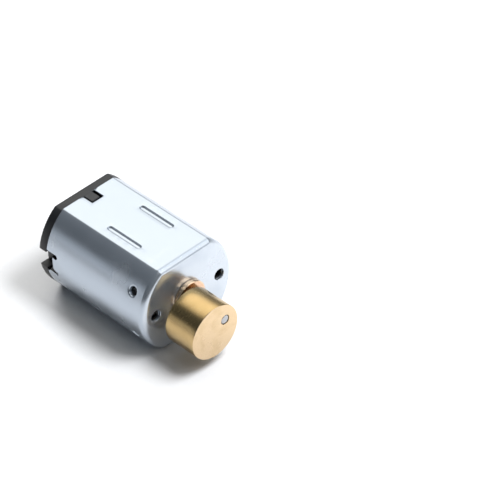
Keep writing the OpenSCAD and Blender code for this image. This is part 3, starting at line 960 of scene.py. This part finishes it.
def shaft_steel():
    """Centreless-ground steel: fine rings, and a faced, slightly stained end."""
    f = Finish("shaft_steel", 1.0)
    rings = f.lines(f.x, 14)
    stain = f.noise(2.2, 3)
    f.tint(stain, (0.3, (0.36, 0.36, 0.36)), (0.6, (0.45, 0.45, 0.46)), (0.8, (0.52, 0.53, 0.54)))
    f.rough(stain, 0.11, 0.26)
    f.bump(rings, 0.002)
    f.bump(f.lines(f.radius(), 16), 0.003)
    return f.material


def magnet():
    """Ground ferrite: dark, dull and finely speckled."""
    f = Finish("magnet")
    speck = f.noise(7, 5, 0.7)
    f.tint(speck, (0.3, (0.035, 0.035, 0.038)), (0.6, (0.075, 0.074, 0.078)),
           (0.8, (0.13, 0.13, 0.135)))
    f.rough(speck, 0.45, 0.65)
    f.bump(speck, 0.015)
    return f.material


def core_steel():
    """Punched silicon steel with a thin bluish oxide and bright sheared edges."""
    f = Finish("core_steel", 1.0)
    oxide = f.noise(1.4, 4, 0.6)
    sheared = f.noise(6, 3, 0.6, f.stretched(0.25, 1.6, 1.6))
    f.tint(oxide, (0.3, (0.30, 0.33, 0.38)), (0.55, (0.46, 0.475, 0.50)), (0.8, (0.56, 0.55, 0.53)))
    f.rough(sheared, 0.32, 0.5)
    f.bump(sheared, 0.012)
    return f.material


def insulator():
    """Moulded polyester, milky and slightly uneven."""
    f = Finish("insulator", Subsurface_Weight=0.15, Subsurface_Scale=0.0003)
    patch = f.noise(0.9, 3)
    f.tint(patch, (0.3, (0.53, 0.51, 0.44)), (0.6, (0.66, 0.64, 0.58)), (0.8, (0.72, 0.71, 0.66)))
    f.rough(patch, 0.38, 0.52)
    f.bump(f.noise(8, 3), 0.008, 0.4)
    return f.material


def copper_wire():
    """Enamelled wire wound in tight turns along X, with the layers slightly crossed."""
    f = Finish("copper_wire", 1.0, Coat_Weight=0.6, Coat_Roughness=0.12)
    inputs = {"Vector": f.stretched(0.03, 1.0, 1.0), "Scale": 1.2, "Distortion": 0.6,
              "Detail Scale": 0.4}
    turns = f.node("ShaderNodeTexWave", inputs, wave_type="BANDS", bands_direction="Z")
    cloud = f.noise(1.8, 3)
    f.tint(cloud, (0.3, (0.46, 0.15, 0.055)), (0.55, (0.64, 0.25, 0.10)), (0.8, (0.75, 0.35, 0.16)))
    f.rough(cloud, 0.22, 0.36)
    f.bump(turns.outputs["Fac"], 0.06, 0.8)
    return f.material


def commutator_copper():
    """Turned copper: fine rings and a patchy film."""
    f = Finish("commutator_copper", 1.0)
    rings = f.lines(f.x, 12)
    film = f.noise(1.5, 3)
    f.tint(film, (0.3, (0.45, 0.22, 0.13)), (0.55, (0.72, 0.40, 0.25)), (0.8, (0.83, 0.52, 0.36)))
    f.rough(rings, 0.18, 0.34)
    f.bump(rings, 0.006)
    return f.material


def commutator_resin():
    """Phenolic moulding, brown and mottled."""
    f = Finish("commutator_resin")
    mottle = f.noise(4, 5, 0.65)
    f.tint(mottle, (0.3, (0.055, 0.024, 0.012)), (0.6, (0.12, 0.055, 0.026)),
           (0.85, (0.20, 0.10, 0.05)))
    f.rough(mottle, 0.34, 0.5)
    f.bump(mottle, 0.008, 0.4)
    return f.material


def spring_bronze():
    """Rolled strip with lines along its length."""
    f = Finish("spring_bronze", 1.0)
    rolled = f.noise(5, 4, 0.6, f.stretched(2.0, 2.0, 0.08))
    f.tint(rolled, (0.3, (0.68, 0.46, 0.23)), (0.55, (0.80, 0.58, 0.33)), (0.8, (0.86, 0.67, 0.42)))
    f.rough(rolled, 0.17, 0.3)
    f.bump(rolled, 0.005)
    return f.material


def damper_rubber():
    """Die-cut rubber sheet, matt and a little dusty."""
    f = Finish("damper_rubber", Sheen_Weight=0.15)
    dust = f.noise(3, 5, 0.7)
    f.tint(dust, (0.35, (0.014, 0.014, 0.015)), (0.6, (0.026, 0.026, 0.027)),
           (0.85, (0.06, 0.059, 0.056)))
    f.rough(dust, 0.65, 0.85)
    f.bump(f.noise(10, 3), 0.015, 0.6)
    return f.material


def washer_plastic():
    """Thin nylon: milky, with a faint waxy clouding."""
    f = Finish("washer_plastic", Subsurface_Weight=0.2, Subsurface_Scale=0.0002)
    cloud = f.noise(2.5, 3)
    f.tint(cloud, (0.3, (0.58, 0.565, 0.50)), (0.6, (0.70, 0.69, 0.64)), (0.8, (0.77, 0.76, 0.72)))
    f.rough(cloud, 0.3, 0.46)
    f.bump(cloud, 0.01, 0.4)
    return f.material


def paper_floor():
    """Matt white paper: a faint tooth, and no visible tone."""
    f = Finish("paper", Specular_IOR_Level=0.1)
    tooth = f.noise(1.5, 4, 0.6)
    f.tint(tooth, (0.3, (0.66, 0.66, 0.665)), (0.7, (0.68, 0.68, 0.68)))
    f.rough(tooth, 0.85, 0.95)
    f.bump(tooth, 0.02, 0.2)
    return f.material


# ---------------- studio

FLOOR_RADIUS = 0.9
FLOOR_Z = CAN_LOW.z * MM


def add_floor(material):
    """A sheet of paper under the motor, which lies on its bottom flat."""
    bm = bmesh.new()
    centre = bm.verts.new((0, 0, FLOOR_Z))
    rings = []
    for r in (0.05 * FLOOR_RADIUS, 0.15 * FLOOR_RADIUS, 0.4 * FLOOR_RADIUS, FLOOR_RADIUS):
        angles = [i * math.pi / 32 for i in range(64)]
        rings.append([bm.verts.new((r * math.cos(a), r * math.sin(a), FLOOR_Z)) for a in angles])
    for i in range(64):
        j = (i + 1) % 64
        bm.faces.new((centre, rings[0][i], rings[0][j]))
        for a, b in zip(rings, rings[1:]):
            bm.faces.new((a[i], b[i], b[j], a[j]))
    data = bpy.data.meshes.new("floor")
    bm.to_mesh(data)
    bm.free()
    data.materials.append(material)
    floor = bpy.data.objects.new("floor", data)
    bpy.context.scene.collection.objects.link(floor)


class Sky(Nodes):
    """The studio round the motor: a dim room with soft bright panels in given directions."""

    def __init__(self):
        world = bpy.data.worlds.new("studio")
        bpy.context.scene.world = world
        world.use_nodes = True
        super().__init__(world.node_tree)
        self.tree.nodes.clear()
        self.direction = self.node("ShaderNodeTexCoord").outputs["Generated"]
        self.total = None

    def shine(self, value, start, end, low, high, colour):
        """Adds a brightness, in a colour, that goes from low to high as value changes."""
        brightness = self.mapped(value, start, end, low, high, interpolation_type="SMOOTHSTEP")
        added = self.vector("SCALE", {0: colour, "Scale": brightness})[0]
        if self.total is not None:
            added = self.vector("ADD", {0: self.total, 1: added})[0]
        self.total = added

    def band(self, start, end, low, high, colour):
        """Brightness low at height start on the unit sphere, and high at height end."""
        height = self.node("ShaderNodeSeparateXYZ", {0: self.direction}).outputs["Z"]
        self.shine(height, start, end, low, high, colour)

    def panel(self, towards, inner, outer, brightness, colour):
        """A soft round panel; inner and outer are its half angles in degrees."""
        nearness = self.vector("DOT_PRODUCT", {0: self.direction, 1: Vector(towards).normalized()})
        start, end = (math.cos(math.radians(angle)) for angle in (outer, inner))
        self.shine(nearness["Value"], start, end, 0.0, brightness, colour)

    def finish(self):
        """The camera sees plain white in place of the room."""
        room = self.node("ShaderNodeBackground", {"Color": self.total})
        white = self.node("ShaderNodeBackground", {"Color": (1, 1, 1, 1)})
        camera_ray = self.node("ShaderNodeLightPath").outputs["Is Camera Ray"]
        shaders = {0: camera_ray, 1: room.outputs[0], 2: white.outputs[0]}
        mix = self.node("ShaderNodeMixShader", shaders)
        self.node("ShaderNodeOutputWorld", {"Surface": mix.outputs[0]})


def add_softbox(name, location, size, power):
    """An area light that faces the motor, and that its metal does not mirror."""
    data = bpy.data.lights.new(name, "AREA")
    data.shape = "DISK"
    data.size = size
    data.energy = power
    data.color = (0.97, 0.985, 1.02)
    light = bpy.data.objects.new(name, data)
    light.location = location
    light.rotation_euler = (-Vector(location)).to_track_quat("-Z", "Y").to_euler()
    light.visible_glossy = False
    light.visible_camera = False
    bpy.context.scene.collection.objects.link(light)


def add_light():
    sky = Sky()
    sky.band(-0.05, 1.0, 0.05, 0.14, (0.88, 1.0, 1.12))
    sky.panel((-0.56, -0.82, -0.08), 6, 26, 0.75, (0.97, 1.0, 1.04))
    sky.panel((-0.50, 0.30, 0.81), 6, 42, 1.75, (1.0, 0.97, 0.90))
    sky.panel((-0.30, 0.90, 0.30), 25, 65, 0.30, (0.98, 1.0, 1.02))
    sky.panel((0.50, 0.50, 0.70), 14, 34, 1.6, (1.0, 1.0, 1.0))
    sky.panel((0.85, 0.52, 0.04), 8, 26, 0.7, (0.97, 1.0, 1.03))
    sky.panel((0.50, -0.20, 0.84), 4, 13, 2.0, (1.0, 0.97, 0.90))
    sky.finish()
    add_softbox("key", (0.045, 0.030, 0.10), 0.054, 0.16)
    add_softbox("rear", (-0.10, 0.035, 0.06), 0.06, 0.09)
    bpy.context.scene.view_settings.view_transform = "Standard"
    bpy.context.scene.view_settings.look = "None"


CAMERA_AZIMUTH = math.radians(46.95)
CAMERA_ELEVATION = math.radians(40.31)
CAMERA_ROLL = math.radians(2.26)
CAMERA_DISTANCE = 0.3444
CAMERA_AIM = Vector((-5.83, 13.16, -5.0)) * MM
CAMERA_LENS = 251.7


def add_camera():
    """The photograph's view: from the front right, above, aimed past the motor's side."""
    data = bpy.data.cameras.new("camera")
    data.lens = CAMERA_LENS
    data.sensor_width = 36
    data.clip_start = 0.005
    data.clip_end = 5
    camera = bpy.data.objects.new("camera", data)
    a, e = CAMERA_AZIMUTH, CAMERA_ELEVATION
    forward = Vector((-math.sin(a) * math.cos(e), math.cos(a) * math.cos(e), -math.sin(e)))
    level = Vector((math.cos(a), math.sin(a), 0))
    upright = level.cross(forward)
    up = math.cos(CAMERA_ROLL) * upright + math.sin(CAMERA_ROLL) * level
    right = forward.cross(up)
    turn = Matrix((right, up, -forward)).transposed().to_4x4()
    turn.translation = CAMERA_AIM - forward * CAMERA_DISTANCE
    camera.matrix_world = turn
    bpy.context.scene.collection.objects.link(camera)
    bpy.context.scene.camera = camera


# ---------------- the motor

def dress(material, slot_name, *nodes):
    """Gives carried-over CAD nodes their finish."""
    for name in nodes:
        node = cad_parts[name]
        for slot in node.material_slots:
            slot.link = "OBJECT"
            slot.material = material


bronze, tin = sintered_bronze(), tinned_metal()
build_can(plated_steel())
build_end_cap(black_plastic())
build_weight(brass())
build_front_bearing(bronze)
build_shaft(shaft_steel())
for side in (1, -1):
    build_terminal(side, tin)

numbered = {name: [f"{name}_{i}" for i in range(1, count + 1)]
            for name, count in (("lamination", 12), ("coil", 3), ("commutator_segment", 3))}
dress(bronze, "sintered_bronze", "rear_bearing")
dress(magnet(), "magnet", "magnet_left", "magnet_right")
dress(spring_bronze(), "spring_bronze", "brush_left", "brush_right")
dress(damper_rubber(), "damper_rubber", "brush_damper_left", "brush_damper_right")
dress(washer_plastic(), "washer_plastic", "front_thrust_washer", "rear_thrust_washer")
dress(insulator(), "insulator", "spacer_sleeve", "core_insulator_front", "core_insulator_rear",
      "commutator_ring")
dress(commutator_resin(), "commutator_resin", "commutator_core")
dress(commutator_copper(), "commutator_copper", *numbered["commutator_segment"])
dress(copper_wire(), "copper_wire", *numbered["coil"])
dress(core_steel(), "core_steel", *numbered["lamination"])

add_floor(paper_floor())
add_light()
add_camera()
